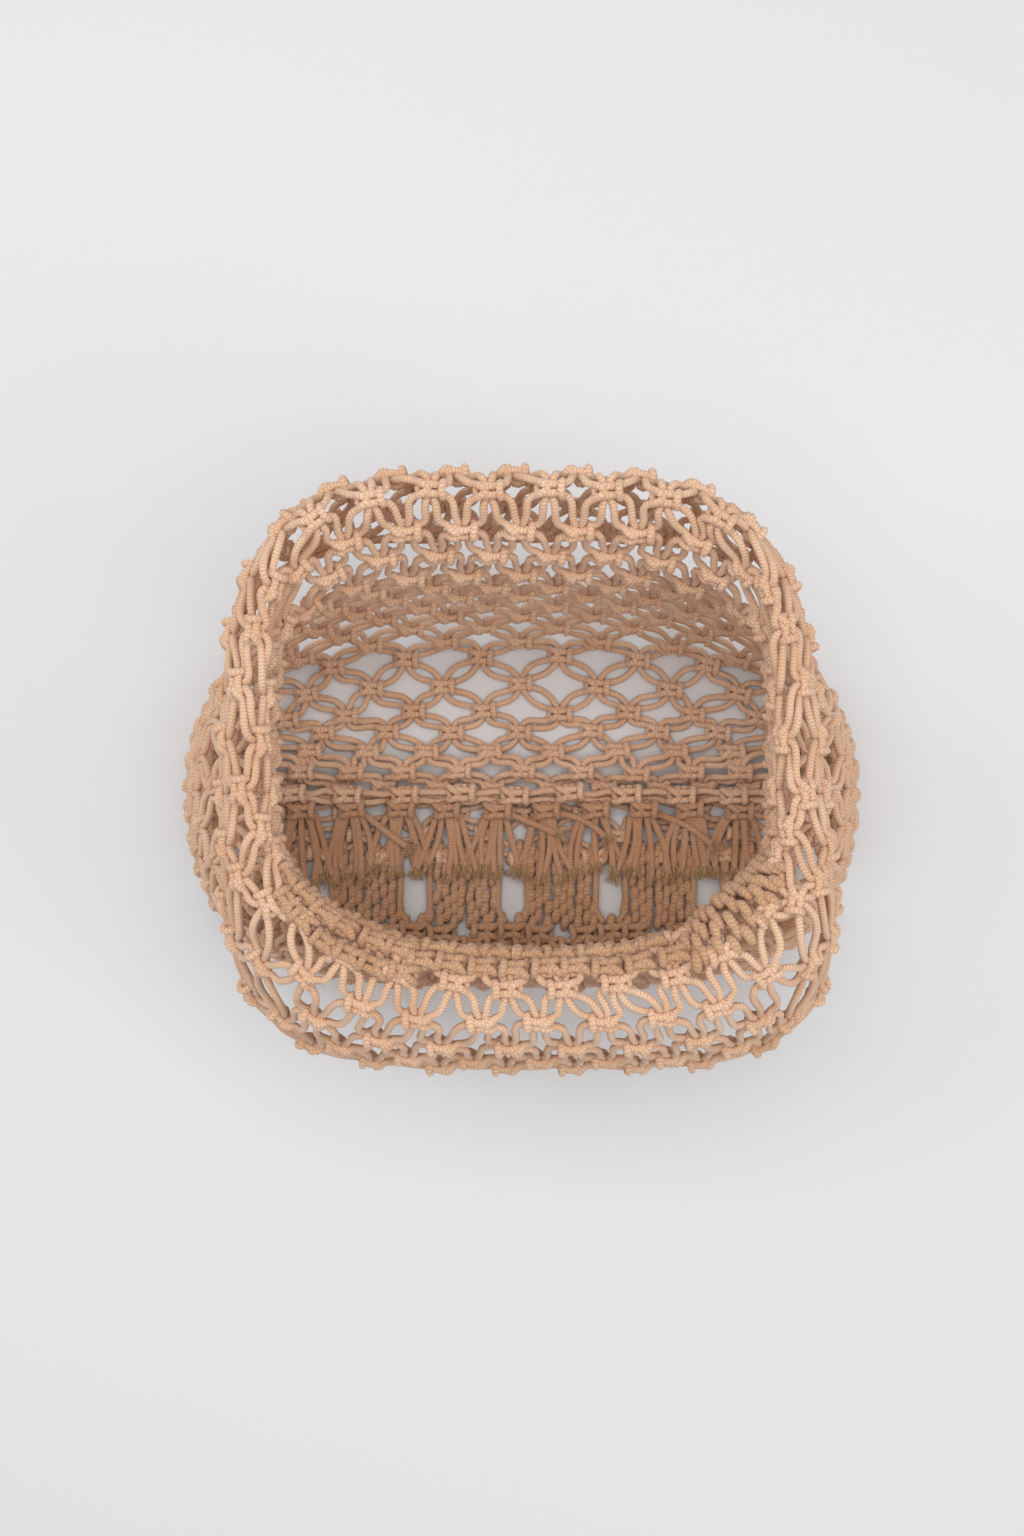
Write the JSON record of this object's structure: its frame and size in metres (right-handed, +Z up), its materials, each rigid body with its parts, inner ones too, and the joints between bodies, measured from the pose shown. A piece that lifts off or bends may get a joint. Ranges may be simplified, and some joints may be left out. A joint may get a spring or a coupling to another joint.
{
  "type": "knotted cord handbag",
  "caption": "Slouching open handbag of knotted cotton cord, with a wide open mouth, a front flap, a dense knotted band and an inner fringe.",
  "frame": {"origin": "middle of the base, on the surface that the bag stands on", "axes": "+X to the right side seam, +Y to the back wall, +Z up through the open mouth"},
  "size_m": [0.387, 0.3123, 0.2233],
  "materials": {
    "net_cord": "braided cotton cord, matt and slightly fuzzy",
    "dense_cord": "close knotted cotton cord, matt and fuzzy",
    "fringe_cord": "cotton cord ends, matt and frayed"
  },
  "bodies": {
    "root": {"back_panel": "net_cord", "front_panel": "dense_cord", "back_hem": "net_cord", "front_hem": "net_cord", "bottom_seam": "fringe_cord", "tassel_1": "fringe_cord", "tassel_2": "fringe_cord", "tassel_3": "fringe_cord", "tassel_4": "fringe_cord", "tassel_5": "fringe_cord", "tassel_6": "fringe_cord", "tassel_7": "fringe_cord", "tassel_8": "fringe_cord", "tassel_9": "fringe_cord", "tassel_10": "fringe_cord"}
  },
  "joints": []
}
